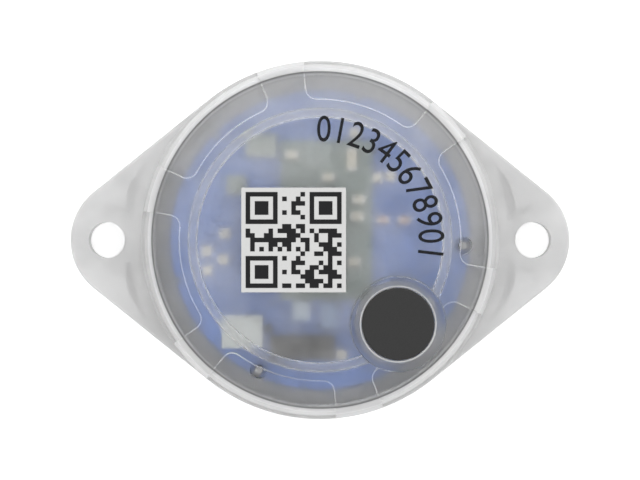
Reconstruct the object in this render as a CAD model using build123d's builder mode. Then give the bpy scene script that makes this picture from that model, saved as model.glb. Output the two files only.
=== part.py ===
"""Round battery sensor tag with a twist-lock cap, a push button and a base with two screw ears.

Millimetres, +Z up, origin at the centre of the base's underside, +X through the two ears.
"""

import os
from math import cos, radians, sin, tan

from build123d import *

# Base: flange, ears and floor
hole_reach = 4.4
screw_hole_radius = 2.35
hole_boss_wall = 1.35
ear_tip_radius = 8.0
ear_tip_setback = 3.25
ear_wall = 1.0
ear_root = 1.6
ear_plate = 1.4
ear_web_width = 5.0
ear_pocket_setback = 0.1
ear_pocket_draft = 20.0
ear_edge_round = 0.4
flange_height = 4.0
flange_plate = 1.6
flange_skirt = 1.4
floor_thickness = 1.8

# Spigot of the base, its seal and the twist lock
spigot_wall = 1.2
spigot_rim_margin = 0.2
spigot_board_gap = 0.4
spigot_edge_round = 0.25
seal_section = 1.4
seal_groove_depth = 0.4
seal_groove_play = 0.05
seal_cover = 1.0
seal_clearance = 0.05
lug_count = 3
lug_phase = 90.0
lug_sweep = 22.0
lug_thickness = 1.0
lug_play = 0.15
lug_clearance = 0.2
twist_travel = 25.0
stop_sweep = 4.0
stop_play = 0.8

# Cap
cap_base_gap = 0.15
cap_foot_inset = 0.05
cap_draft = 6.2
cap_wall = 1.85
cap_upper_wall = 1.1
cap_top_thickness = 1.7
cap_edge_round = 0.7
cap_corner_round = 0.4
bore_lead = 0.4
edge_bevel = 0.12
edge_bevel_angle = 52.0
grip_count = 6
grip_phase = 13.0
grip_sweep = 44.5
grip_depth = 0.38
grip_step = 0.3
grip_inner_radius = 17.7
grip_corner = 1.3
grip_foot_height = 1.15
rib_radius = 16.0
rib_width = 1.2
rib_depth = 0.3

# Circuit board, and the screws that hold it to the cap's bosses
board_radius = 19.0
board_thickness = 1.2
component_room = 4.1
boss_step = 4.45
boss_angles = (-115.3, -2.2)
boss_radius = 1.1
boss_board_gap = 0.02
screw_shank_radius = 0.5
screw_bite = 3.2
screw_thread_clearance = 0.02
screw_slot_clearance = 0.1
screw_head_radius = 0.95
screw_head_height = 0.35
screw_cross_length = 1.2
screw_cross_width = 0.25
screw_cross_depth = 0.2
rim_notch_angles = (74.7, 134.8, 195.7)
rim_notch_radius = 0.45
rim_notch_inset = 0.2

# Coin cell
cell_radius = 12.25
cell_height = 7.7
cell_floor_gap = 0.3
cell_wall = 0.35
cell_shoulder = 0.4
cell_gasket_wall = 0.5
cell_lid_wall = 0.3
cell_part_gap = 0.02

# Cell holder and contacts
holder_clearance = 0.15
holder_wall = 1.2
holder_depth = 6.0
holder_notch_width = 9.0
holder_notch_height = 3.0
holder_slot_width = 4.4
holder_slot_foot = 1.0
holder_peg_radius = 0.6
holder_peg_clearance = 0.05
holder_peg_height = 1.1
holder_peg_angles = (60.0, 240.0)
contact_thickness = 0.15
contact_gap = 0.05
contact_disc_radius = 4.5
contact_leaf_width = 4.0
contact_leaf_length = 4.6
contact_foot_length = 3.0

# Button, its collar and the switch under it
button_circle = 14.35
button_angle = -47.1
button_radius = 4.52
button_clearance = 0.1
button_rise = 0.2
button_edge_round = 0.25
button_travel = 0.4
button_rest_gap = 0.05
button_skirt_radius = 5.3
button_skirt_thickness = 0.7
button_neck_radius = 3.2
button_neck_fit = 0.02
collar_radius = 6.05
collar_rise = 0.5
collar_edge_round = 0.2
collar_skirt_bore = 5.45
collar_skirt_length = 1.7
retainer_bore = 4.4
retainer_fit = 0.01
seal_ring_section = 0.58
seal_ring_clearance = 0.05
seal_ring_depth = 1.3
stem_radius = 1.5
stem_fit = 0.02
stem_grip = 1.5
stem_gap = 0.05
switch_side = 5.2
switch_height = 1.9
switch_floor = 0.4
switch_cavity_radius = 2.1
switch_cover_thickness = 0.2
switch_cover_side = 4.8
plunger_radius = 1.3
plunger_rise = 0.5
plunger_clearance = 0.1
plunger_flange_radius = 1.9
plunger_flange_thickness = 0.7
plunger_play = 0.05
terminal_width = 0.7
terminal_length = 0.9
terminal_thickness = 0.25

# Label on the cap
label_side = 13.1
label_thickness = 0.1
label_place = (-3.3, 0.0)

# Radio module
module_place = (0.8, 2.5)
module_width = 11.6
module_length = 20.2
module_thickness = 0.8
shield_place = (-0.9, 0.0)
shield_width = 8.2
shield_length = 12.6
shield_height = 1.4
shield_wall = 0.2
radio_chip_side = 6.0
radio_chip_height = 0.85
antenna_place = (4.0, 10.2)
antenna_width = 1.2
antenna_length = 2.8
antenna_height = 0.8
module_capacitor_places = ((-3.6, 10.8), (1.05, 7.9), (4.9, 5.1), (4.7, 3.0), (4.3, -2.8))
module_capacitor_width = 1.6
module_capacitor_length = 1.0
module_capacitor_height = 0.7

# Parts on the main board
board_capacitor_places = (
    (-12.1, 0.8),
    (-14.4, -1.4),
    (-12.3, -2.5),
    (-14.3, -3.9),
    (7.3, 7.9),
    (9.0, 8.1),
    (4.4, 13.6),
    (2.75, -14.6),
)
board_capacitor_width = 1.3
board_capacitor_length = 1.3
board_capacitor_height = 0.8
resistor_places = ((-8.3, 4.2), (-6.6, 4.2), (-8.3, 1.6), (-6.6, 1.6), (-8.3, -4.6), (-6.6, -4.6))
resistor_width = 0.8
resistor_length = 1.5
resistor_height = 0.45
led_places = ((8.0, 2.55), (10.7, 2.55))
led_width = 1.6
led_length = 0.9
led_height = 0.6
sensor_can_place = (-9.85, -11.6)
sensor_can_width = 5.2
sensor_can_length = 4.2
sensor_can_height = 2.0
connector_boss_gap = 0.32
connector_row = -13.6
connector_width = 8.1
connector_length = 3.1
connector_height = 2.2
connector_slot_width = 1.0
connector_slot_depth = 1.6
connector_end_wall = 0.6
motion_sensor_place = (-2.4, -9.0)
motion_sensor_width = 2.2
motion_sensor_length = 2.5
motion_sensor_height = 0.9
crystal_place = (1.2, -9.6)
crystal_width = 2.2
crystal_length = 3.2
crystal_height = 0.8
temperature_sensor_place = (-10.6, 7.0)
temperature_sensor_side = 2.5
temperature_sensor_height = 0.9
memory_chip_place = (-7.5, 12.0)
memory_chip_width = 4.0
memory_chip_length = 3.0
memory_chip_height = 0.9
chip_edge_round = 0.12

# Levels above the base's underside, from the floor up through the cell and the board
cell_bottom = floor_thickness + cell_floor_gap
cell_top = cell_bottom + cell_height
board_bottom = cell_top + contact_gap + contact_thickness
board_top = board_bottom + board_thickness
ceiling = board_top + component_room
cap_top = ceiling + cap_top_thickness
cap_foot = flange_height + cap_base_gap
spigot_top = board_bottom - spigot_board_gap
cap_lug_top = cap_foot + lug_thickness
base_lug_bottom = cap_lug_top + lug_play
seal_level = spigot_top - seal_cover - seal_section / 2
bore_top = spigot_top + bore_lead
grip_foot = cap_foot + grip_foot_height
collar_top = cap_top + collar_rise

# Radii that fit one another, from the cell and the board out to the flange and the screw holes
holder_bore = cell_radius + holder_clearance
holder_radius = holder_bore + holder_wall
boss_circle = holder_radius + boss_step
spigot_bore = board_radius + spigot_rim_margin
spigot_radius = spigot_bore + spigot_wall
seal_groove_radius = spigot_radius - seal_groove_depth
cap_bore = seal_groove_radius + seal_section + seal_clearance
base_lug_radius = cap_bore - lug_clearance
cap_lug_radius = spigot_radius + lug_clearance
cap_foot_radius = cap_bore + cap_wall
flange_radius = cap_foot_radius + cap_foot_inset
hole_pitch = 2 * (flange_radius + hole_reach)
ear_tip_place = hole_pitch / 2 - ear_tip_setback
button_bore = button_radius + button_clearance


def drafted_radius(level):
    """The cap's outer radius at a level."""
    return cap_foot_radius - (level - cap_foot) * tan(radians(cap_draft))


def polar(radius, angle):
    """A point of the plan, from its radius and its angle in degrees from +X."""
    return (radius * cos(radians(angle)), radius * sin(radians(angle)))


def around(count, phase):
    """Evenly spaced angles round the axis."""
    return [phase + 360 / count * turn for turn in range(count)]


def sector(inner, outer, middle, sweep):
    """A ring sector in plan, centred on the angle middle."""
    start = middle - sweep / 2
    with BuildSketch() as plan:
        with BuildLine():
            CenterArc((0, 0), outer, start, sweep)
            CenterArc((0, 0), inner, start, sweep)
            Line(polar(inner, start), polar(outer, start))
            Line(polar(inner, start + sweep), polar(outer, start + sweep))
        make_face()
    return plan.sketch


def draw_ears(margin):
    """Draws the base's outline into the open sketch, pulled in by a margin."""
    Circle(flange_radius - margin)
    with Locations(*ear_tips):
        Circle(ear_tip_radius - margin)
    make_hull()


def save(builder, name):
    builder.part.label = name
    export_step(builder.part, f"parts/{name}.step")


def save_blocks(name, places, width, length, height, level, edge_round=0.0):
    """Saves one box for each place, standing on a level, as one node."""
    with BuildPart() as blocks:
        with BuildSketch(Plane.XY.offset(level)):
            with Locations(*places):
                Rectangle(width, length)
        extrude(amount=height)
        if edge_round:
            fillet(blocks.edges().group_by(Axis.Z)[-1], edge_round)
    save(blocks, name)


os.makedirs("parts", exist_ok=True)
screw_holes = [(hole_pitch / 2, 0), (-hole_pitch / 2, 0)]
ear_tips = [(ear_tip_place, 0), (-ear_tip_place, 0)]
lug_angles = around(lug_count, lug_phase)
grip_angles = around(grip_count, grip_phase)
bosses = [polar(boss_circle, angle) for angle in boss_angles]
button_place = polar(button_circle, button_angle)
connector_place = (bosses[0][0] + boss_radius + connector_boss_gap + connector_width / 2, connector_row)

# Base shell: floor, flange and ears in one piece, hollow underneath between its walls and webs. The pockets
# in the ears end just short of where the straight sides of the outline meet the round tip.
straight_end = ear_tip_place + (ear_tip_radius - ear_wall) * (flange_radius - ear_tip_radius) / ear_tip_place
with BuildPart() as base_shell:
    with BuildSketch():
        draw_ears(0)
    extrude(amount=flange_height)
    fillet(base_shell.edges().group_by(Axis.Z)[-1], ear_edge_round)
    with BuildSketch():
        draw_ears(ear_wall)
        Rectangle(2 * (straight_end - ear_pocket_setback), 2 * flange_radius, mode=Mode.INTERSECT)
        Circle(flange_radius + ear_root, mode=Mode.SUBTRACT)
        Rectangle(hole_pitch, ear_web_width, mode=Mode.SUBTRACT)
        with Locations(*screw_holes):
            Circle(screw_hole_radius + hole_boss_wall, mode=Mode.SUBTRACT)
    extrude(amount=flange_height - ear_plate, taper=ear_pocket_draft, mode=Mode.SUBTRACT)
    with BuildSketch():
        Circle(flange_radius - flange_skirt)
        Circle(spigot_radius, mode=Mode.SUBTRACT)
    extrude(amount=flange_height - flange_plate, mode=Mode.SUBTRACT)
    with BuildSketch():
        with Locations(*screw_holes):
            Circle(screw_hole_radius)
    extrude(amount=flange_height, mode=Mode.SUBTRACT)
    # Spigot
    with BuildSketch(Plane.XY.offset(floor_thickness)):
        Circle(spigot_radius)
    extrude(amount=spigot_top - floor_thickness)
    with BuildSketch(Plane.XY.offset(floor_thickness)):
        Circle(spigot_bore)
    extrude(amount=spigot_top - floor_thickness, mode=Mode.SUBTRACT)
    fillet(base_shell.edges().group_by(Axis.Z)[-1], spigot_edge_round)
    with BuildSketch(Plane.XY.offset(seal_level - seal_section / 2 - seal_groove_play)):
        Circle(cap_bore)
        Circle(seal_groove_radius, mode=Mode.SUBTRACT)
    extrude(amount=seal_section + 2 * seal_groove_play, mode=Mode.SUBTRACT)
    # Lugs of the twist lock, and a stop at each end of the cap lugs' way
    with BuildSketch(Plane.XY.offset(base_lug_bottom)):
        for angle in lug_angles:
            add(sector(seal_groove_radius, base_lug_radius, angle, lug_sweep))
    extrude(amount=lug_thickness)
    with BuildSketch(Plane.XY.offset(flange_height)):
        for angle in lug_angles:
            reach = lug_sweep / 2 + stop_play + stop_sweep / 2
            add(sector(seal_groove_radius, base_lug_radius, angle - reach, stop_sweep))
            add(sector(seal_groove_radius, base_lug_radius, angle + twist_travel + reach, stop_sweep))
    extrude(amount=base_lug_bottom + lug_thickness - flange_height)
save(base_shell, "base_shell")

# Seal between the spigot and the cap
with BuildPart() as cap_seal_ring:
    with Locations((0, 0, seal_level)):
        Torus(seal_groove_radius + seal_section / 2, seal_section / 2)
save(cap_seal_ring, "cap_seal_ring")


def drum_section(inset, drop):
    """Half the drafted section of the cap, pulled in and lowered."""
    top = cap_top - drop
    with BuildSketch() as section:
        with BuildLine():
            Polyline(
                (0, cap_foot),
                (cap_foot_radius - inset, cap_foot),
                (drafted_radius(top) - inset, top),
                (0, top),
                close=True,
            )
        make_face()
    return section.sketch


# The drum that lies behind the grip recesses
with BuildPart() as recessed_drum:
    with BuildSketch(Plane.XZ):
        add(drum_section(grip_depth, grip_step))
    revolve(axis=Axis.Z)
    fillet(recessed_drum.edges().group_by(Axis.Z)[-1], cap_edge_round)

# What the grip recesses take away: sectors with rounded corners and bevelled upper edges, outside that drum
with BuildSketch() as grip_outlines:
    for angle in grip_angles:
        add(sector(grip_inner_radius, flange_radius + cap_wall, angle, grip_sweep))
    corners = grip_outlines.vertices().sort_by_distance(Vector(0, 0, 0))
    fillet(corners[: 2 * grip_count], grip_corner)

with BuildPart() as grips:
    with BuildSketch(Plane.XY.offset(grip_foot)):
        add(grip_outlines.sketch)
    extrude(amount=cap_top + cap_wall - grip_foot)
    with BuildSketch(Plane.XY.offset(cap_top - edge_bevel)):
        add(grip_outlines.sketch)
    extrude(amount=2 * edge_bevel, taper=-edge_bevel_angle)
    add(recessed_drum.part, mode=Mode.SUBTRACT)

# Cap shell
with BuildPart() as cap_shell:
    with BuildSketch(Plane.XZ):
        add(drum_section(0, 0))
    revolve(axis=Axis.Z)
    fillet(cap_shell.edges().group_by(Axis.Z)[-1], cap_edge_round)
    add(grips.part, mode=Mode.SUBTRACT)
    # Collar that the button stands in
    with BuildSketch(Plane.XY.offset(ceiling)):
        with Locations(button_place):
            Circle(collar_radius)
    extrude(amount=collar_top - ceiling)
    fillet(cap_shell.edges().group_by(Axis.Z)[-1], collar_edge_round)
    # Inside of the cap: a straight bore over the seal, then a drafted wall up to the ceiling
    with BuildSketch(Plane.XZ) as inside:
        with BuildLine():
            Polyline(
                (0, cap_foot),
                (cap_bore, cap_foot),
                (cap_bore, bore_top),
                (drafted_radius(ceiling) - cap_upper_wall, ceiling),
                (0, ceiling),
                close=True,
            )
        make_face()
        fillet(inside.vertices().group_by(Axis.Y)[-1].sort_by(Axis.X)[-1], cap_corner_round)
    revolve(axis=Axis.Z, mode=Mode.SUBTRACT)
    with BuildSketch(Plane.XY.offset(cap_foot)):
        for angle in lug_angles:
            add(sector(cap_lug_radius, cap_bore + cap_wall / 2, angle, lug_sweep))
    extrude(amount=lug_thickness)
    # A low round rib, the screw bosses and the collar's skirt hang from the ceiling
    with BuildSketch(Plane.XZ):
        with BuildLine():
            ThreePointArc(
                (rib_radius - rib_width / 2, ceiling),
                (rib_radius, ceiling - rib_depth),
                (rib_radius + rib_width / 2, ceiling),
            )
            Line((rib_radius + rib_width / 2, ceiling), (rib_radius - rib_width / 2, ceiling))
        make_face()
    revolve(axis=Axis.Z)
    with BuildSketch(Plane.XY.offset(ceiling)):
        with Locations(*bosses):
            Circle(boss_radius)
    extrude(amount=board_top + boss_board_gap - ceiling)
    with BuildSketch(Plane.XY.offset(ceiling)):
        with Locations(button_place):
            Circle(collar_radius)
    extrude(amount=-collar_skirt_length)
    # Bores
    with BuildSketch(Plane.XY.offset(ceiling)):
        with Locations(button_place):
            Circle(collar_skirt_bore)
    extrude(amount=-collar_skirt_length, mode=Mode.SUBTRACT)
    with BuildSketch(Plane.XY.offset(ceiling)):
        with Locations(button_place):
            Circle(button_bore)
    extrude(amount=collar_top - ceiling, mode=Mode.SUBTRACT)
    with BuildSketch(Plane.XY.offset(collar_top - edge_bevel)):
        with Locations(button_place):
            Circle(button_bore)
    extrude(amount=2 * edge_bevel, taper=-edge_bevel_angle, mode=Mode.SUBTRACT)
    with BuildSketch(Plane.XY.offset(board_top)):
        with Locations(*bosses):
            Circle(screw_shank_radius + screw_thread_clearance)
    extrude(amount=screw_bite + screw_thread_clearance, mode=Mode.SUBTRACT)
save(cap_shell, "cap_shell")

save_blocks("label_sheet", [label_place], label_side, label_side, label_thickness, cap_top)

# Circuit board
with BuildPart() as circuit_board:
    with BuildSketch(Plane.XY.offset(board_bottom)):
        Circle(board_radius)
        slot_radius = screw_shank_radius + screw_slot_clearance
        with Locations(*bosses):
            Circle(slot_radius, mode=Mode.SUBTRACT)
        for angle in boss_angles:
            with PolarLocations((boss_circle + board_radius) / 2, 1, start_angle=angle):
                Rectangle(board_radius - boss_circle, 2 * slot_radius, mode=Mode.SUBTRACT)
        with Locations(*[polar(board_radius - rim_notch_inset, angle) for angle in rim_notch_angles]):
            Circle(rim_notch_radius, mode=Mode.SUBTRACT)
        with Locations(*[polar(holder_bore + holder_wall / 2, angle) for angle in holder_peg_angles]):
            Circle(holder_peg_radius + holder_peg_clearance, mode=Mode.SUBTRACT)
    extrude(amount=board_thickness)
save(circuit_board, "circuit_board")

# Two screws come up past the board's rim, through its slots, into the cap's bosses
with BuildPart() as board_screws:
    with BuildSketch(Plane.XY.offset(board_bottom)):
        with Locations(*bosses):
            Circle(screw_shank_radius)
    extrude(amount=board_thickness + screw_bite)
    with BuildSketch(Plane.XY.offset(board_bottom)):
        with Locations(*bosses):
            Circle(screw_head_radius)
    extrude(amount=-screw_head_height)
    with BuildSketch(Plane.XY.offset(board_bottom - screw_head_height)):
        with Locations(*bosses):
            Rectangle(screw_cross_length, screw_cross_width)
            Rectangle(screw_cross_width, screw_cross_length)
    extrude(amount=screw_cross_depth, mode=Mode.SUBTRACT)
save(board_screws, "board_screws")

# Holder: a ring under the board round the cell, with two finger notches and a slot for the side contact
with BuildPart() as battery_holder:
    with BuildSketch(Plane.XY.offset(board_bottom)):
        Circle(holder_radius)
        Circle(holder_bore, mode=Mode.SUBTRACT)
    extrude(amount=-holder_depth)
    with BuildSketch(Plane.XY.offset(board_bottom - holder_depth)):
        Rectangle(holder_notch_width, 2 * holder_radius + holder_wall)
    extrude(amount=holder_notch_height, mode=Mode.SUBTRACT)
    with BuildSketch(Plane.XY.offset(board_bottom - holder_depth + holder_slot_foot)):
        with Locations((holder_radius, 0)):
            Rectangle(2 * holder_wall + 2 * holder_clearance, holder_slot_width)
    extrude(amount=holder_depth - holder_slot_foot, mode=Mode.SUBTRACT)
    with BuildSketch(Plane.XY.offset(board_bottom)):
        with Locations(*[polar(holder_bore + holder_wall / 2, angle) for angle in holder_peg_angles]):
            Circle(holder_peg_radius)
    extrude(amount=holder_peg_height)
save(battery_holder, "battery_holder")

# Contacts: a disc on the board over the cell, and a leaf from the board down the cell's side
with BuildPart() as battery_contact_negative:
    with BuildSketch(Plane.XY.offset(board_bottom)):
        Circle(contact_disc_radius)
    extrude(amount=-contact_thickness)
save(battery_contact_negative, "battery_contact_negative")

leaf_face = cell_radius + cell_part_gap
with BuildPart() as battery_contact_positive:
    with BuildSketch(Plane.XZ.offset(-contact_leaf_width / 2)):
        with BuildLine():
            Polyline(
                (leaf_face, board_bottom - contact_leaf_length),
                (leaf_face, board_bottom),
                (leaf_face + contact_foot_length, board_bottom),
                (leaf_face + contact_foot_length, board_bottom - contact_thickness),
                (leaf_face + contact_thickness, board_bottom - contact_thickness),
                (leaf_face + contact_thickness, board_bottom - contact_leaf_length),
                close=True,
            )
        make_face()
    extrude(amount=contact_leaf_width)
save(battery_contact_positive, "battery_contact_positive")

# Coin cell, its negative side up: a can, a gasket ring, a lid cup and what fills them
lid_radius = cell_radius - cell_wall - cell_gasket_wall - 2 * cell_part_gap
with BuildPart() as battery_can:
    with BuildSketch(Plane.XY.offset(cell_bottom)):
        Circle(cell_radius)
    extrude(amount=cell_height - cell_shoulder)
    with BuildSketch(Plane.XY.offset(cell_bottom + cell_wall)):
        Circle(cell_radius - cell_wall)
    extrude(amount=cell_height, mode=Mode.SUBTRACT)
    fillet(battery_can.edges().group_by(Axis.Z)[0], cell_wall)
save(battery_can, "battery_can")

with BuildPart() as battery_gasket:
    with BuildSketch(Plane.XY.offset(cell_bottom + cell_wall)):
        Circle(cell_radius - cell_wall - cell_part_gap)
        Circle(lid_radius + cell_part_gap, mode=Mode.SUBTRACT)
    extrude(amount=cell_height - cell_wall - cell_shoulder)
save(battery_gasket, "battery_gasket")

with BuildPart() as battery_lid:
    with BuildSketch(Plane.XY.offset(cell_bottom + cell_height / 2)):
        Circle(lid_radius)
    extrude(amount=cell_height / 2)
    with BuildSketch(Plane.XY.offset(cell_bottom + cell_height / 2)):
        Circle(lid_radius - cell_lid_wall)
    extrude(amount=cell_height / 2 - cell_lid_wall, mode=Mode.SUBTRACT)
    fillet(battery_lid.edges().group_by(Axis.Z)[-1], cell_lid_wall)
save(battery_lid, "battery_lid")

with BuildPart() as battery_core:
    with BuildSketch(Plane.XY.offset(cell_bottom + cell_wall)):
        Circle(lid_radius - cell_lid_wall - cell_part_gap)
    extrude(amount=cell_height - cell_wall - cell_lid_wall - cell_part_gap)
save(battery_core, "battery_core")

# Radio module: its board, chip, shield can, antenna and small parts
module_top = board_top + module_thickness
save_blocks("radio_module_board", [module_place], module_width, module_length, module_thickness, board_top)
save_blocks("radio_chip", [shield_place], radio_chip_side, radio_chip_side, radio_chip_height, module_top)
with BuildPart() as radio_shield:
    with BuildSketch(Plane.XY.offset(module_top)):
        with Locations(shield_place):
            Rectangle(shield_width, shield_length)
    extrude(amount=shield_height)
    fillet(radio_shield.edges().group_by(Axis.Z)[-1], shield_wall)
    with BuildSketch(Plane.XY.offset(module_top)):
        with Locations(shield_place):
            Rectangle(shield_width - 2 * shield_wall, shield_length - 2 * shield_wall)
    extrude(amount=shield_height - shield_wall, mode=Mode.SUBTRACT)
save(radio_shield, "radio_shield")
save_blocks("chip_antenna", [antenna_place], antenna_width, antenna_length, antenna_height, module_top,
            chip_edge_round)
save_blocks("module_capacitors", module_capacitor_places, module_capacitor_width,
            module_capacitor_length, module_capacitor_height, module_top, chip_edge_round)

# Small parts on the main board
save_blocks("board_capacitors", board_capacitor_places, board_capacitor_width,
            board_capacitor_length, board_capacitor_height, board_top, chip_edge_round)
save_blocks("resistors", resistor_places, resistor_width, resistor_length, resistor_height, board_top)
save_blocks("status_leds", led_places, led_width, led_length, led_height, board_top, chip_edge_round)
save_blocks("sensor_can", [sensor_can_place], sensor_can_width, sensor_can_length,
            sensor_can_height, board_top, chip_edge_round)
save_blocks("motion_sensor", [motion_sensor_place], motion_sensor_width, motion_sensor_length,
            motion_sensor_height, board_top, chip_edge_round)
save_blocks("crystal", [crystal_place], crystal_width, crystal_length, crystal_height, board_top,
            chip_edge_round)
save_blocks("temperature_sensor", [temperature_sensor_place], temperature_sensor_side,
            temperature_sensor_side, temperature_sensor_height, board_top, chip_edge_round)
save_blocks("memory_chip", [memory_chip_place], memory_chip_width, memory_chip_length,
            memory_chip_height, board_top, chip_edge_round)

# Service connector: a dark socket with one long slot in its top
with BuildPart() as service_connector:
    with BuildSketch(Plane.XY.offset(board_top)):
        with Locations(connector_place):
            Rectangle(connector_width, connector_length)
    extrude(amount=connector_height)
    with BuildSketch(Plane.XY.offset(board_top + connector_height)):
        with Locations(connector_place):
            Rectangle(connector_width - 2 * connector_end_wall, connector_slot_width)
    extrude(amount=-connector_slot_depth, mode=Mode.SUBTRACT)
save(service_connector, "service_connector")

# Tact switch: a housing with a round well, a steel cover, a plunger and four terminals
switch_top = board_top + switch_height
with BuildPart() as switch_housing:
    with BuildSketch(Plane.XY.offset(board_top)):
        with Locations(button_place):
            Rectangle(switch_side, switch_side)
    extrude(amount=switch_height)
    with BuildSketch(Plane.XY.offset(board_top + switch_floor)):
        with Locations(button_place):
            Circle(switch_cavity_radius)
    extrude(amount=switch_height - switch_floor, mode=Mode.SUBTRACT)
save(switch_housing, "switch_housing")

with BuildPart() as switch_cover:
    with BuildSketch(Plane.XY.offset(switch_top)):
        with Locations(button_place):
            Rectangle(switch_cover_side, switch_cover_side)
            Circle(plunger_radius + plunger_clearance, mode=Mode.SUBTRACT)
    extrude(amount=switch_cover_thickness)
save(switch_cover, "switch_cover")

with BuildPart() as switch_terminals:
    with BuildSketch(Plane.XY.offset(board_top)):
        with Locations(button_place):
            with GridLocations(switch_side + terminal_length, switch_side - 2 * terminal_width, 2, 2):
                Rectangle(terminal_length, terminal_width)
    extrude(amount=terminal_thickness)
save(switch_terminals, "switch_terminals")

# The stack that is pressed, from the cap's ceiling down: skirt, stem, plunger
skirt_top = ceiling - button_rest_gap
skirt_bottom = skirt_top - button_skirt_thickness
retainer_top = skirt_bottom - button_travel - button_rest_gap
plunger_top = switch_top + switch_cover_thickness + plunger_rise
stem_bottom = plunger_top + stem_gap
plunger_flange_top = switch_top - plunger_play

with BuildPart() as switch_plunger:
    with BuildSketch(Plane.XY.offset(plunger_top)):
        with Locations(button_place):
            Circle(plunger_radius)
    extrude(amount=plunger_flange_top - plunger_top)
    with BuildSketch(Plane.XY.offset(plunger_flange_top)):
        with Locations(button_place):
            Circle(plunger_flange_radius)
    extrude(amount=-plunger_flange_thickness)
save(switch_plunger, "switch_plunger")

# Button: a rubber pad with a hard stem in it, a sealing ring round it and a clear skirt round its neck
button_top = collar_top + button_rise
seal_ring_level = collar_top - seal_ring_depth
seal_ring_circle = button_bore - seal_ring_clearance - seal_ring_section / 2
with BuildPart() as button_pad:
    with BuildSketch(Plane.XY.offset(skirt_bottom)):
        with Locations(button_place):
            Circle(button_neck_radius)
    extrude(amount=button_skirt_thickness)
    with BuildSketch(Plane.XY.offset(skirt_top)):
        with Locations(button_place):
            Circle(button_radius)
    extrude(amount=button_top - skirt_top)
    fillet(button_pad.edges().group_by(Axis.Z)[-1], button_edge_round)
    with BuildSketch(Plane.XY.offset(seal_ring_level - seal_ring_section / 2 - seal_groove_play)):
        with Locations(button_place):
            Circle(button_bore)
            Circle(seal_ring_circle - seal_ring_section / 2 - seal_groove_play, mode=Mode.SUBTRACT)
    extrude(amount=seal_ring_section + 2 * seal_groove_play, mode=Mode.SUBTRACT)
    with BuildSketch(Plane.XY.offset(skirt_bottom)):
        with Locations(button_place):
            Circle(stem_radius + stem_fit)
    extrude(amount=stem_grip, mode=Mode.SUBTRACT)
save(button_pad, "button_pad")

with BuildPart() as button_skirt:
    with BuildSketch(Plane.XY.offset(skirt_bottom)):
        with Locations(button_place):
            Circle(button_skirt_radius)
            Circle(button_neck_radius + button_neck_fit, mode=Mode.SUBTRACT)
    extrude(amount=button_skirt_thickness)
save(button_skirt, "button_skirt")

with BuildPart() as button_stem:
    with BuildSketch(Plane.XY.offset(stem_bottom)):
        with Locations(button_place):
            Circle(stem_radius)
    extrude(amount=skirt_bottom + stem_grip - stem_bottom)
save(button_stem, "button_stem")

with BuildPart() as button_seal_ring:
    with Locations((*button_place, seal_ring_level)):
        Torus(seal_ring_circle, seal_ring_section / 2)
save(button_seal_ring, "button_seal_ring")

with BuildPart() as button_retainer:
    with BuildSketch(Plane.XY.offset(retainer_top)):
        with Locations(button_place):
            Circle(collar_skirt_bore - retainer_fit)
            Circle(retainer_bore, mode=Mode.SUBTRACT)
    extrude(amount=ceiling - collar_skirt_length - retainer_top)
save(button_retainer, "button_retainer")
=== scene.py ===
"""Round battery sensor tag: a frosted clear cap over a blue board, on a clear base with two screw ears."""

from math import cos, radians, sin

import bpy
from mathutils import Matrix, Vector


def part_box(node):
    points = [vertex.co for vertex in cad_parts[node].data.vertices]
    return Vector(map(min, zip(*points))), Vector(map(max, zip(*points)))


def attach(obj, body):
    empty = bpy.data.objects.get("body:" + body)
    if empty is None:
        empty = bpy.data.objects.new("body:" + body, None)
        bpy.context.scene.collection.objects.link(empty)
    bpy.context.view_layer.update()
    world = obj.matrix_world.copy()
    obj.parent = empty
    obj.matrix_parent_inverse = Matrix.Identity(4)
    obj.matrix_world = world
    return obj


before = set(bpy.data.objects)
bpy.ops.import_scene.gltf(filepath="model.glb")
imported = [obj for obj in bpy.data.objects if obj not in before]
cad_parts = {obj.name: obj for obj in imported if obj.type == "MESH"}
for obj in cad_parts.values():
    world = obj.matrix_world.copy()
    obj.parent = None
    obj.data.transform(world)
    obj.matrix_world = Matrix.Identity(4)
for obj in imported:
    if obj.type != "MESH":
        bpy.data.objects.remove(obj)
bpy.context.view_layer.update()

# Camera: it stands 34 cm above the table and looks straight down, with a lens long enough to keep the
# round walls nearly upright.
CAMERA_HEIGHT = 0.344
LENS_LENGTH = 147.0
SENSOR_WIDTH = 36.0
NEAREST_SEEN = 0.01
bpy.ops.object.camera_add(location=(0, 0, CAMERA_HEIGHT), rotation=(0, 0, 0))
camera = bpy.context.object
camera.data.lens = LENS_LENGTH
camera.data.sensor_width = SENSOR_WIDTH
camera.data.clip_start = NEAREST_SEEN
camera.data.dof.use_dof = False
bpy.context.scene.camera = camera

# Base: one clear moulding with a floor, a flange, two ears ribbed underneath and the spigot that the cap
# turns onto. Its plastic is lightly frosted and unevenly milky, and it stands flat on its underside.
MM = 0.001
GRAIN_DETAIL = 4.0
GRAIN_HOLLOWS = 0.3
GRAIN_CRESTS = 0.7
SMUDGES_PER_MM = 0.16
SMUDGE_DETAIL = 2.0
SMUDGE_TONES = ((0.40, 0.82), (0.60, 0.915))


def new_finish(name, colour, roughness, **more):
    """A material with one shader of that colour and roughness, and any other sockets by name."""
    finish = bpy.data.materials.new(name)
    finish.use_nodes = True
    shader = finish.node_tree.nodes["Principled BSDF"]
    shader.inputs["Base Color"].default_value = (*colour, 1)
    shader.inputs["Roughness"].default_value = roughness
    for socket, value in more.items():
        shader.inputs[socket.replace("_", " ")].default_value = value
    return finish


def add_node(finish, kind, **settings):
    """A node in a finish, with its settings; a setting named after an input sets that input."""
    node = finish.node_tree.nodes.new(kind)
    for key, value in settings.items():
        if key.startswith("in_"):
            node.inputs[int(key[3:])].default_value = value
        else:
            setattr(node, key, value)
    return node


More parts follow.
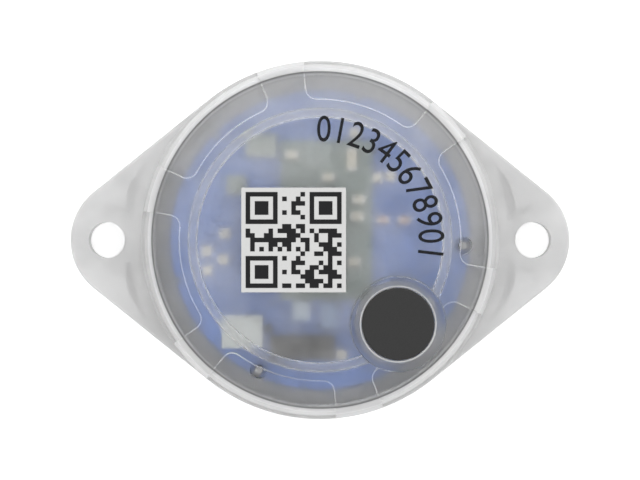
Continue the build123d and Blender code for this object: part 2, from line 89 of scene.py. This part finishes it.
def join(finish, *pairs):
    """Links outputs to inputs, given in pairs."""
    for output, target in zip(pairs[::2], pairs[1::2]):
        finish.node_tree.links.new(output, target)


def add_noise(finish, per_mm, detail):
    """A noise of that many grains to the millimetre, in the piece's own frame."""
    place = add_node(finish, "ShaderNodeTexCoord")
    noise = add_node(finish, "ShaderNodeTexNoise")
    noise.inputs["Scale"].default_value = per_mm / MM
    noise.inputs["Detail"].default_value = detail
    join(finish, place.outputs["Object"], noise.inputs["Vector"])
    return noise.outputs["Fac"]


def give_grain(finish, per_mm, depth_mm, tone=0.0, roughness_spread=0.0):
    """Fine bumps of that size and depth, with a slight change of tone and roughness between them."""
    shader = finish.node_tree.nodes["Principled BSDF"]
    noise = add_noise(finish, per_mm, GRAIN_DETAIL)
    bump = add_node(finish, "ShaderNodeBump")
    bump.inputs["Distance"].default_value = depth_mm * MM
    join(finish, noise, bump.inputs["Height"], bump.outputs["Normal"], shader.inputs["Normal"])
    if tone:
        colour = shader.inputs["Base Color"].default_value
        ramp = add_node(finish, "ShaderNodeValToRGB")
        ramp.color_ramp.elements[0].position = GRAIN_HOLLOWS
        ramp.color_ramp.elements[1].position = GRAIN_CRESTS
        ramp.color_ramp.elements[0].color = (*[c * (1 - tone) for c in colour[:3]], 1)
        ramp.color_ramp.elements[1].color = (*[min(1, c * (1 + tone)) for c in colour[:3]], 1)
        join(finish, noise, ramp.inputs["Fac"], ramp.outputs["Color"], shader.inputs["Base Color"])
    if roughness_spread:
        middle = shader.inputs["Roughness"].default_value
        spread = add_node(finish, "ShaderNodeMapRange")
        spread.inputs["To Min"].default_value = middle - roughness_spread
        spread.inputs["To Max"].default_value = middle + roughness_spread
        join(finish, noise, spread.inputs["Value"], spread.outputs["Result"], shader.inputs["Roughness"])


def dress(node_name, finish):
    """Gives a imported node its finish."""
    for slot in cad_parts[node_name].material_slots:
        slot.material = finish


base_plastic = new_finish("base_plastic", colour=(0.88, 0.88, 0.88), roughness=0.45,
                          Transmission_Weight=0.62, IOR=1.49)
give_grain(base_plastic, per_mm=9.0, depth_mm=0.0008, roughness_spread=0.05)
smudges = add_noise(base_plastic, SMUDGES_PER_MM, SMUDGE_DETAIL)
smudge_tone = add_node(base_plastic, "ShaderNodeValToRGB")
for stop, (position, value) in zip(smudge_tone.color_ramp.elements, SMUDGE_TONES):
    stop.position = position
    stop.color = (value, value, value, 1)
join(base_plastic, smudges, smudge_tone.inputs["Fac"], smudge_tone.outputs["Color"],
     base_plastic.node_tree.nodes["Principled BSDF"].inputs["Base Color"])
dress("base_shell", base_plastic)

# Seal: a grey rubber ring that lies in the spigot's groove and is squeezed by the cap. It shows through the
# cap as a grey band.
seal_rubber = new_finish("seal_rubber", colour=(0.455, 0.455, 0.445), roughness=0.5)
give_grain(seal_rubber, per_mm=3.0, depth_mm=0.01, tone=0.12)
dress("cap_seal_ring", seal_rubber)

# Coin cell: a stainless can and lid with a pale nylon gasket between them and a black filling. It is laid in
# with the can down.
cell_steel = new_finish("cell_steel", colour=(0.62, 0.62, 0.63), roughness=0.28, Metallic=1.0)
give_grain(cell_steel, per_mm=4.0, depth_mm=0.004, tone=0.06, roughness_spread=0.06)
dress("battery_can", cell_steel)
dress("battery_lid", cell_steel)
cell_gasket = new_finish("cell_gasket", colour=(0.74, 0.74, 0.70), roughness=0.45)
give_grain(cell_gasket, per_mm=4.0, depth_mm=0.01, tone=0.05)
dress("battery_gasket", cell_gasket)
cell_filling = new_finish("cell_filling", colour=(0.05, 0.05, 0.055), roughness=0.8)
give_grain(cell_filling, per_mm=2.0, depth_mm=0.02, tone=0.2)
dress("battery_core", cell_filling)

# Cell holder: a black moulded ring, pegged into the board, with nickel-plated spring contacts. The switch's
# cover and legs are plated the same way.
holder_plastic = new_finish("holder_plastic", colour=(0.028, 0.028, 0.030), roughness=0.42)
give_grain(holder_plastic, per_mm=5.0, depth_mm=0.008, tone=0.15, roughness_spread=0.05)
dress("battery_holder", holder_plastic)
nickel = new_finish("nickel", colour=(0.66, 0.63, 0.57), roughness=0.25, Metallic=1.0)
give_grain(nickel, per_mm=6.0, depth_mm=0.003, tone=0.06, roughness_spread=0.06)
for plated in ("battery_contact_positive", "battery_contact_negative", "switch_cover", "switch_terminals"):
    dress(plated, nickel)

# Circuit board: a round fibreglass board under a blue mask, slightly uneven in tone. The two board screws
# hold it up against the cap's bosses.
board_mask = new_finish("board_mask", colour=(0.225, 0.345, 0.74), roughness=0.38)
give_grain(board_mask, per_mm=0.5, depth_mm=0.004, tone=0.2, roughness_spread=0.05)
dress("circuit_board", board_mask)

# Board screws: two zinc-plated cross-head screws that come up past the board's rim into the cap's bosses.
# Through the frosted cap they show as grey dots.
screw_steel = new_finish("screw_steel", colour=(0.40, 0.40, 0.41), roughness=0.35, Metallic=1.0)
give_grain(screw_steel, per_mm=6.0, depth_mm=0.004, tone=0.08, roughness_spread=0.06)
dress("board_screws", screw_steel)

# Radio module: its own grey-green board, soldered flat on the blue one, with a tinned can over a black chip,
# a ceramic antenna and ceramic capacitors. The blue board's capacitors are of the same ceramic.
module_mask = new_finish("module_mask", colour=(0.34, 0.41, 0.38), roughness=0.45)
give_grain(module_mask, per_mm=0.6, depth_mm=0.004, tone=0.12)
dress("radio_module_board", module_mask)
shield_tin = new_finish("shield_tin", colour=(0.62, 0.63, 0.61), roughness=0.3, Metallic=1.0)
give_grain(shield_tin, per_mm=3.0, depth_mm=0.004, tone=0.05, roughness_spread=0.08)
dress("radio_shield", shield_tin)
chip_black = new_finish("chip_black", colour=(0.022, 0.022, 0.024), roughness=0.55)
give_grain(chip_black, per_mm=8.0, depth_mm=0.006, tone=0.2)
dress("radio_chip", chip_black)
dress("resistors", chip_black)
ceramic_beige = new_finish("ceramic_beige", colour=(1.0, 0.90, 0.74), roughness=0.5)
give_grain(ceramic_beige, per_mm=3.0, depth_mm=0.006, tone=0.1)
for part in ("chip_antenna", "module_capacitors", "board_capacitors"):
    dress(part, ceramic_beige)

# Small parts on the blue board: two lights with resin lenses, a pale sensor can, ceramic sensors and memory,
# a crystal with a metal lid, and the black connector and switch. All are soldered down.
led_lens = new_finish("led_lens", colour=(0.85, 0.62, 0.50), roughness=0.3)
give_grain(led_lens, per_mm=3.0, depth_mm=0.004, tone=0.08)
dress("status_leds", led_lens)
can_steel = new_finish("can_steel", colour=(0.72, 0.76, 0.74), roughness=0.4)
give_grain(can_steel, per_mm=3.0, depth_mm=0.004, tone=0.04)
dress("sensor_can", can_steel)
ceramic_white = new_finish("ceramic_white", colour=(0.55, 0.60, 0.55), roughness=0.5)
give_grain(ceramic_white, per_mm=3.0, depth_mm=0.006, tone=0.06)
dress("memory_chip", ceramic_white)
dress("temperature_sensor", ceramic_white)
sensor_ceramic = new_finish("sensor_ceramic", colour=(0.66, 0.78, 0.92), roughness=0.5)
give_grain(sensor_ceramic, per_mm=3.0, depth_mm=0.006, tone=0.06)
dress("motion_sensor", sensor_ceramic)
crystal_lid = new_finish("crystal_lid", colour=(0.34, 0.47, 0.72), roughness=0.4)
give_grain(crystal_lid, per_mm=3.0, depth_mm=0.004, tone=0.05)
dress("crystal", crystal_lid)
switch_plastic = new_finish("switch_plastic", colour=(0.018, 0.018, 0.019), roughness=0.45)
give_grain(switch_plastic, per_mm=5.0, depth_mm=0.008, tone=0.15)
dress("service_connector", switch_plastic)
dress("switch_housing", switch_plastic)
stem_plastic = new_finish("stem_plastic", colour=(0.03, 0.03, 0.03), roughness=0.4)
give_grain(stem_plastic, per_mm=5.0, depth_mm=0.006, tone=0.15)
dress("switch_plunger", stem_plastic)
dress("button_stem", stem_plastic)

# Tinned ends: every small ceramic part, resistor and light is soldered down by a metal cap at both ends.
# Each cap is a thin tinned shell that wraps round the part's top, sides and foot.
END_PROUD = 0.02 * MM
END_BEVEL_SHARE = 0.08
END_BEVEL_STEPS = 2
SAME_POINT = 0.001 * MM
solder_tin = new_finish("solder_tin", colour=(0.94, 0.92, 0.88), roughness=0.4, Metallic=0.25)
give_grain(solder_tin, per_mm=10.0, depth_mm=0.003, tone=0.08, roughness_spread=0.08)
bpy.ops.mesh.primitive_cube_add(size=1.0)
end_master = bpy.context.object
rounding = end_master.modifiers.new("rounding", "BEVEL")
rounding.width = END_BEVEL_SHARE
rounding.segments = END_BEVEL_STEPS
bpy.ops.object.modifier_apply(modifier="rounding")


def add_ends(centres, size, end_length, along_x):
    """Both ends of each part with that centre and size."""
    made = []
    half = (size[0] if along_x else size[1]) / 2 - end_length / 2 + END_PROUD
    end_size = (end_length, size[1] + 2 * END_PROUD) if along_x else (size[0] + 2 * END_PROUD, end_length)
    for x, y, foot in centres:
        for side in (-1, 1):
            end = end_master.copy()
            end.data = end_master.data.copy()
            bpy.context.collection.objects.link(end)
            end.location = (x + side * half if along_x else x, y if along_x else y + side * half,
                            foot + (size[2] + END_PROUD) / 2)
            end.scale = (*end_size, size[2] + END_PROUD)
            made.append(end)
    return made


def find_blocks(node_name):
    """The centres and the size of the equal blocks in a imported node, from its loose vertices."""
    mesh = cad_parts[node_name].data
    group = list(range(len(mesh.vertices)))
    keys = {}
    for vertex in mesh.vertices:
        key = tuple(round(c / SAME_POINT) for c in vertex.co)
        group[vertex.index] = keys.setdefault(key, vertex.index)

    def root(item):
        while group[item] != item:
            item = group[item]
        return item

    for edge in mesh.edges:
        group[root(edge.vertices[0])] = root(edge.vertices[1])
    blocks = {}
    for vertex in mesh.vertices:
        blocks.setdefault(root(vertex.index), []).append(vertex.co)
    centres = []
    for points in blocks.values():
        low = [min(p[axis] for p in points) for axis in range(3)]
        high = [max(p[axis] for p in points) for axis in range(3)]
        centres.append(((low[0] + high[0]) / 2, (low[1] + high[1]) / 2, low[2]))
    return centres, tuple(high[axis] - low[axis] for axis in range(3))


def join_pieces(pieces, name):
    """Makes one object of several, with its place in its mesh."""
    bpy.ops.object.select_all(action="DESELECT")
    for piece in pieces:
        piece.select_set(True)
    bpy.context.view_layer.objects.active = pieces[0]
    bpy.ops.object.join()
    joined = bpy.context.object
    joined.name = name
    bpy.ops.object.transform_apply(location=True, rotation=True, scale=True)
    return joined


ends = []
for node_name, end_length, along_x in (
    ("board_capacitors", 0.32 * MM, True),
    ("module_capacitors", 0.35 * MM, True),
    ("status_leds", 0.30 * MM, True),
    ("resistors", 0.28 * MM, False),
    ("chip_antenna", 0.40 * MM, False),
):
    centres, size = find_blocks(node_name)
    ends += add_ends(centres, size, end_length, along_x)
bpy.data.objects.remove(end_master)
tinned_ends = join_pieces(ends, "tinned_ends")
tinned_ends.data.materials.append(solder_tin)
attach(tinned_ends, "cap")

# Cap: one clear moulding with a polished top and a satin side, matt inside, frosted under its top, most over
# the parts. As painted light, it is made milkier, and so lighter, towards the back, towards the right
# outside the rib and towards the left within it. The rim's inner corner is painted dark as a line of painted
# shade, and the bevels of the grip recesses and of the button's bore are made milky as painted highlights.
RAMP_REACH = 25.0 * MM
TOP_ABOVE = 15.5 * MM
SIDE_BEYOND = 21.5 * MM
HANGING_BELOW = 14.95 * MM
BORE_REACH = 4.80 * MM
BORE_ABOVE = 17.3 * MM
STEP_LOW = 16.73 * MM
STEP_HIGH = 16.985 * MM
STEP_WITHIN = 20.75 * MM
STEP_HIGHLIGHT_STRENGTH = 0.31
CAP_TINT_AND_PAINTED_SHADE = {
    # Painted shade: the top's tint falls to 0.16 between 20.98 and 21.10 mm, a dark line at the rim's inner
    # corner.
    "top": ((20.3, 0.955), (20.85, 0.66), (20.98, 0.16), (21.10, 0.16), (21.20, 0.87)),
    "ceiling": ((15.0, 0.965), (17.0, 0.950)),
    "matt": 0.95,
    "edge": 0.95,
}
CAP_ROUGHNESS = {
    "top": ((20.4, 0.05), (20.8, 0.40)),
    "ceiling": ((15.2, 0.46), (15.4, 0.62), (16.6, 0.62), (17.0, 0.32), (19.4, 0.38), (20.0, 0.50)),
    "matt": 0.55,
    "edge": 0.5,
}
CAP_CLEARNESS_AND_PAINTED_HIGHLIGHT = {
    "top": ((20.85, 0.96), (21.0, 0.64), (21.25, 0.48)),
    "ceiling": ((15.2, 0.89), (15.5, 0.70), (16.5, 0.70), (17.0, 0.89)),
    "matt": 0.85,
    # Painted highlight: the bevels of the grip recesses and of the button's bore are made milky, so they
    # show bright.
    "edge": 0.30,
}
CLOUDS_PER_MM = 0.22
CLOUD_DETAIL = 3.0
CLOUD_SPREAD = 0.26
CLOUD_SHIFT = -0.13
# Painted light: slopes per metre of the cap's transmission, that make it milkier and lighter on one side.
INNER_PAINTED_LIGHT_SLOPE = (1.6, -0.7, 0)
OUTER_PAINTED_LIGHT_SLOPE = (-1.6, -4.6, 0)
RIB_REACH = 15.2 * MM
RIM_REACH = 20.9 * MM
button_low, button_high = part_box("button_pad")
button_centre = ((button_low[0] + button_high[0]) / 2, (button_low[1] + button_high[1]) / 2, 0)


def worked(finish, operation, *values):
    """The result of a math node, where each value is a number or another node's output."""
    node = add_node(finish, "ShaderNodeMath", operation=operation)
    for socket, value in zip(node.inputs, values):
        if isinstance(value, bpy.types.NodeSocket):
            join(finish, value, socket)
        else:
            socket.default_value = value
    return node.outputs[0]


def mixed(finish, share, at_none, at_full):
    """One value where the share is 0, another where it is 1, and a mix between."""
    node = add_node(finish, "ShaderNodeMix")
    join(finish, share, node.inputs[0], at_none, node.inputs[2])
    if isinstance(at_full, bpy.types.NodeSocket):
        join(finish, at_full, node.inputs[3])
    else:
        node.inputs[3].default_value = at_full
    return node.outputs[0]


def between(finish, value, low, high):
    """1 where a value lies between two limits, and 0 elsewhere."""
    return worked(finish, "MULTIPLY", worked(finish, "GREATER_THAN", value, low),
                  worked(finish, "LESS_THAN", value, high))


def find_place(finish):
    """Each point's place as seen from above, its distance from the cap's axis and its height."""
    place = add_node(finish, "ShaderNodeTexCoord")
    parts = add_node(finish, "ShaderNodeSeparateXYZ")
    flat = add_node(finish, "ShaderNodeVectorMath", operation="MULTIPLY", in_1=(1, 1, 0))
    reach = add_node(finish, "ShaderNodeVectorMath", operation="LENGTH")
    join(finish, place.outputs["Object"], parts.inputs[0], place.outputs["Object"], flat.inputs[0],
         flat.outputs[0], reach.inputs[0])
    return flat.outputs[0], reach.outputs["Value"], parts.outputs["Z"]


def stepped(finish, reach, steps):
    """A value by the distance from the axis; each step gives a distance in millimetres and its value."""
    ramp = add_node(finish, "ShaderNodeValToRGB")
    while len(ramp.color_ramp.elements) < len(steps):
        ramp.color_ramp.elements.new(0.5)
    for stop, (reach_mm, value) in zip(ramp.color_ramp.elements, steps):
        stop.position = reach_mm * MM / RAMP_REACH
        stop.color = (value, value, value, 1)
    join(finish, worked(finish, "DIVIDE", reach, RAMP_REACH), ramp.inputs["Fac"])
    return ramp.outputs["Color"]


def zoned(finish, top, ceiling, matt, edge):
    """A value for the cap: by distance from the axis on top and on the ceiling, then for the matt inside and
    for the bevelled edges of the grip recesses and of the button's bore, made milky there as painted
    highlights."""
    flat, reach, height = find_place(finish)
    hanging = worked(finish, "LESS_THAN", height, HANGING_BELOW)
    outside = worked(finish, "MAXIMUM", worked(finish, "GREATER_THAN", height, TOP_ABOVE),
                     worked(finish, "GREATER_THAN", reach, SIDE_BEYOND))
    inside = mixed(finish, hanging, stepped(finish, reach, ceiling), matt)
    level = mixed(finish, outside, inside, stepped(finish, reach, top))
    shifted = add_node(finish, "ShaderNodeVectorMath", operation="SUBTRACT", in_1=button_centre)
    from_button = add_node(finish, "ShaderNodeVectorMath", operation="LENGTH")
    join(finish, flat, shifted.inputs[0], shifted.outputs[0], from_button.inputs[0])
    near_bore = worked(finish, "LESS_THAN", from_button.outputs["Value"], BORE_REACH)
    on_bore_highlight = worked(finish, "MULTIPLY", near_bore, worked(finish, "GREATER_THAN", height, BORE_ABOVE))
    on_step_highlight = worked(finish, "MULTIPLY", between(finish, height, STEP_LOW, STEP_HIGH),
                     worked(finish, "LESS_THAN", reach, STEP_WITHIN))
    # Painted highlight: the bore's bevel fully, and the grip recesses' bevels in part, take the edge values.
    painted_highlight_share = worked(finish, "MAXIMUM", on_bore_highlight, worked(finish, "MULTIPLY", on_step_highlight, STEP_HIGHLIGHT_STRENGTH))
    return mixed(finish, painted_highlight_share, level, edge)


def painted_light_across(finish, slope, nearest, farthest):
    """A value that rises across the cap by that slope per metre, between two distances from the axis; it
    paints light across the cap.
    """
    flat, reach = find_place(finish)[:2]
    rise = add_node(finish, "ShaderNodeVectorMath", operation="DOT_PRODUCT", in_1=slope)
    join(finish, flat, rise.inputs[0])
    return worked(finish, "MULTIPLY", rise.outputs["Value"], between(finish, reach, nearest, farthest))


cap_plastic = new_finish("cap_plastic", colour=(0.87, 0.875, 0.88), roughness=0.1, IOR=1.49)
cloud_noise = add_noise(cap_plastic, CLOUDS_PER_MM, CLOUD_DETAIL)
clouds = worked(cap_plastic, "MULTIPLY_ADD", cloud_noise, CLOUD_SPREAD, CLOUD_SHIFT)
# Painted light: the cap is made milkier, and so lighter, towards the back and to one side.
painted_light_leans = worked(cap_plastic, "ADD", painted_light_across(cap_plastic, INNER_PAINTED_LIGHT_SLOPE, 0, RIB_REACH),
               painted_light_across(cap_plastic, OUTER_PAINTED_LIGHT_SLOPE, RIB_REACH, RIM_REACH))
clearness_and_painted_light = worked(cap_plastic, "ADD", zoned(cap_plastic, **CAP_CLEARNESS_AND_PAINTED_HIGHLIGHT),
                   worked(cap_plastic, "ADD", clouds, painted_light_leans))
clearness_and_painted_light.node.use_clamp = True
shader = cap_plastic.node_tree.nodes["Principled BSDF"]
join(cap_plastic, zoned(cap_plastic, **CAP_TINT_AND_PAINTED_SHADE), shader.inputs["Base Color"],
     zoned(cap_plastic, **CAP_ROUGHNESS), shader.inputs["Roughness"],
     clearness_and_painted_light, shader.inputs["Transmission Weight"])
dress("cap_shell", cap_plastic)

# Button: a matt black rubber button that stands in the cap's collar with a grey sealing ring round it. A
# clear silicone skirt round its neck is held under the collar by a clear retaining ring.
retainer_plastic = new_finish("retainer_plastic", colour=(0.94, 0.95, 0.97), roughness=0.25,
                              Transmission_Weight=0.92, IOR=1.49)
give_grain(retainer_plastic, per_mm=4.0, depth_mm=0.001, roughness_spread=0.05)
dress("button_retainer", retainer_plastic)
button_rubber = new_finish("button_rubber", colour=(0.036, 0.036, 0.036), roughness=0.8,
                           Specular_IOR_Level=0.2)
give_grain(button_rubber, per_mm=6.0, depth_mm=0.006, tone=0.06)
dress("button_pad", button_rubber)
dress("button_seal_ring", seal_rubber)
clear_silicone = new_finish("clear_silicone", colour=(0.92, 0.93, 0.95), roughness=0.25,
                            Transmission_Weight=0.9, IOR=1.41)
give_grain(clear_silicone, per_mm=4.0, depth_mm=0.001, roughness_spread=0.06)
dress("button_skirt", clear_silicone)

# Label: a white square stuck on the cap, with a made-up code printed on it: three corner frames, and
# square dots laid out by a fixed rule that stands for no message.
CODE_CELLS = 21
CODE_CELL = 0.572 * MM
FRAME_CELLS = 7
FRAME_GAP_RING = 2
FRAME_RINGS = 4
DOT_FACTORS = (7, 11, 3, 5)
DOT_DIVISOR = 13
DOT_INKED_BELOW = 6
INK_GAP = 0.001 * MM
INK_LIFT = 0.012 * MM
label_face = new_finish("label_face", colour=(0.61, 0.61, 0.605), roughness=0.55)
give_grain(label_face, per_mm=4.0, depth_mm=0.003, tone=0.02)
dress("label_sheet", label_face)
ink = new_finish("ink", colour=(0.012, 0.012, 0.013), roughness=0.6, Specular_IOR_Level=0.15)
give_grain(ink, per_mm=12.0, depth_mm=0.002, tone=0.15)


def is_inked(column, row):
    """Whether a cell of the code is printed: in a corner by its frame and core, elsewhere by a remainder."""
    far_corner = CODE_CELLS - FRAME_CELLS
    for left, low in ((0, 0), (0, far_corner), (far_corner, far_corner)):
        across, up = column - left, row - low
        if -1 <= across <= FRAME_CELLS and -1 <= up <= FRAME_CELLS:
            ring = max(abs(across - FRAME_CELLS // 2), abs(up - FRAME_CELLS // 2))
            return ring != FRAME_GAP_RING and ring < FRAME_RINGS
    by_column, by_row, by_both, by_third = DOT_FACTORS
    score = column * by_column + row * by_row + column * row * by_both + column // 3 * by_third
    return score % DOT_DIVISOR < DOT_INKED_BELOW


label_low, label_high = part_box("label_sheet")
label_x, label_y = (label_low[0] + label_high[0]) / 2, (label_low[1] + label_high[1]) / 2
code_place = (label_x, label_y, label_high[2] + INK_GAP)
bpy.ops.mesh.primitive_grid_add(x_subdivisions=CODE_CELLS, y_subdivisions=CODE_CELLS,
                                size=CODE_CELLS * CODE_CELL, location=code_place)
code = bpy.context.object
code.name = "code_print"
bpy.ops.object.mode_set(mode="EDIT")
bpy.ops.mesh.select_mode(type="FACE")
bpy.ops.mesh.select_all(action="DESELECT")
bpy.ops.object.mode_set(mode="OBJECT")
for face in code.data.polygons:
    column = int((face.center[0] / CODE_CELL) + CODE_CELLS / 2)
    row = int((face.center[1] / CODE_CELL) + CODE_CELLS / 2)
    face.select = not is_inked(column, row)
bpy.ops.object.mode_set(mode="EDIT")
bpy.ops.mesh.delete(type="FACE")
bpy.ops.mesh.select_all(action="SELECT")
bpy.ops.mesh.extrude_region_move(TRANSFORM_OT_translate={"value": (0, 0, INK_LIFT)})
bpy.ops.mesh.select_all(action="SELECT")
bpy.ops.mesh.normals_make_consistent(inside=False)
bpy.ops.object.mode_set(mode="OBJECT")
bpy.ops.object.transform_apply(location=True, rotation=True, scale=True)
code.data.materials.append(ink)
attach(code, "cap")

# Serial digits: twelve counting digits in the code's black ink, printed on the cap beside the label. They
# turn clockwise in an arc from above the label, their feet inward.
DIGIT_COUNT = 12
DIGIT_HEIGHT = 3.2282 * MM
DIGIT_SHARE = 0.69
DIGIT_ARC = 12.35 * MM
DIGIT_STEP = 8.6
DIGIT_START = 88.0
DIGIT_WIDTH = 0.82
DIGIT_STROKE = 0.005 * MM
DIGIT_CURVE_STEPS = 6
print_height = label_low[2] + INK_GAP
digits = []
for turn in range(DIGIT_COUNT):
    angle = DIGIT_START - turn * DIGIT_STEP
    foot = (DIGIT_ARC * cos(radians(angle)), DIGIT_ARC * sin(radians(angle)), print_height)
    bpy.ops.object.text_add(location=foot, rotation=(0, 0, radians(angle - 90)))
    digit = bpy.context.object
    digit.data.body = str(turn % 10)
    digit.data.align_x = "CENTER"
    digit.data.size = DIGIT_HEIGHT / DIGIT_SHARE
    digit.data.offset = DIGIT_STROKE
    digit.data.extrude = INK_LIFT / 2
    digit.data.resolution_u = DIGIT_CURVE_STEPS
    digit.scale = (DIGIT_WIDTH, 1, 1)
    bpy.ops.object.convert(target="MESH")
    digits.append(bpy.context.object)
serial = join_pieces(digits, "serial_digits")
serial.data.materials.clear()
serial.data.materials.append(ink)
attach(serial, "cap")

# Floor: a plain white sheet that the tag lies on. It glows where the camera sees it, straight or through the
# plastic, so that it stays white without more light on the tag.
FLOOR_SIZE = 4.0
FLOOR_DROP = 0.2 * MM
FLOOR_COLOUR = (0.8, 0.8, 0.8)
FLOOR_ROUGHNESS = 0.9
GLOW_STRAIGHT = 0.60
GLOW_BY_PLASTIC = 0.30
bpy.ops.mesh.primitive_plane_add(size=FLOOR_SIZE, location=(0, 0, -FLOOR_DROP))
floor = bpy.context.object
floor.name = "floor"
floor_white = new_finish("floor_white", colour=FLOOR_COLOUR, roughness=FLOOR_ROUGHNESS)
shader = floor_white.node_tree.nodes["Principled BSDF"]
rays = add_node(floor_white, "ShaderNodeLightPath")
by_plastic = worked(floor_white, "MAXIMUM", rays.outputs["Is Glossy Ray"],
                    rays.outputs["Is Transmission Ray"])
straight = worked(floor_white, "MULTIPLY", rays.outputs["Is Camera Ray"], GLOW_STRAIGHT)
strength = worked(floor_white, "ADD", straight, worked(floor_white, "MULTIPLY", by_plastic, GLOW_BY_PLASTIC))
glow = add_node(floor_white, "ShaderNodeEmission")
both = add_node(floor_white, "ShaderNodeAddShader")
join(floor_white, strength, glow.inputs["Strength"], shader.outputs["BSDF"], both.inputs[0], glow.outputs[0],
     both.inputs[1], both.outputs[0], floor_white.node_tree.nodes["Material Output"].inputs["Surface"])
floor.data.materials.append(floor_white)

# Light: an even pale surround that the camera sees as white, a soft round lamp above the back, and six weak,
# soft lamps low down all round.
SURROUND_LIGHT = 0.80
SURROUND_SEEN = 1.0
KEY_LAMP_PLACE = (0.12, 0.50, 0.38)
KEY_LAMP_SIZE = 0.4
KEY_LAMP_POWER = 1.2
SIDE_LAMPS = 6
SIDE_LAMP_TURN = 20
SIDE_LAMP_REACH = 0.5
SIDE_LAMP_HEIGHT = 0.14
SIDE_LAMP_WIDTH = 0.52
SIDE_LAMP_DEPTH = 0.18
SIDE_LAMP_POWER = 0.40
world = bpy.data.worlds.new("surround")
bpy.context.scene.world = world
world.use_nodes = True
surround = world.node_tree.nodes["Background"]
surround.inputs["Color"].default_value = (1, 1, 1, 1)
rays = add_node(world, "ShaderNodeLightPath")
by_gloss = worked(world, "MAXIMUM", rays.outputs["Is Camera Ray"], rays.outputs["Is Glossy Ray"])
seen = worked(world, "MAXIMUM", by_gloss, rays.outputs["Is Transmission Ray"])
level = add_node(world, "ShaderNodeMapRange")
level.inputs["To Min"].default_value = SURROUND_LIGHT
level.inputs["To Max"].default_value = SURROUND_SEEN
join(world, seen, level.inputs["Value"], level.outputs["Result"], surround.inputs["Strength"])


def add_lamp(name, place, shape, size, power, target):
    """A soft lamp at a place, turned to a point."""
    bpy.ops.object.light_add(type="AREA", location=place)
    lamp = bpy.context.object
    lamp.name = name
    lamp.data.shape = shape
    lamp.data.size = size
    lamp.data.energy = power
    lamp.rotation_euler = (Vector(target) - lamp.location).to_track_quat("-Z", "Y").to_euler()
    return lamp


add_lamp("key_lamp", KEY_LAMP_PLACE, "DISK", KEY_LAMP_SIZE, KEY_LAMP_POWER, (0, 0, 0))
for turn in range(SIDE_LAMPS):
    angle = radians(360 / SIDE_LAMPS * turn + SIDE_LAMP_TURN)
    side_place = (SIDE_LAMP_REACH * cos(angle), SIDE_LAMP_REACH * sin(angle), SIDE_LAMP_HEIGHT)
    lamp = add_lamp(f"side_lamp_{turn + 1}", side_place, "RECTANGLE", SIDE_LAMP_WIDTH, SIDE_LAMP_POWER,
                    (0, 0, SIDE_LAMP_HEIGHT))
    lamp.data.size_y = SIDE_LAMP_DEPTH

# Colours are shown as they are.
bpy.context.scene.view_settings.view_transform = "Standard"
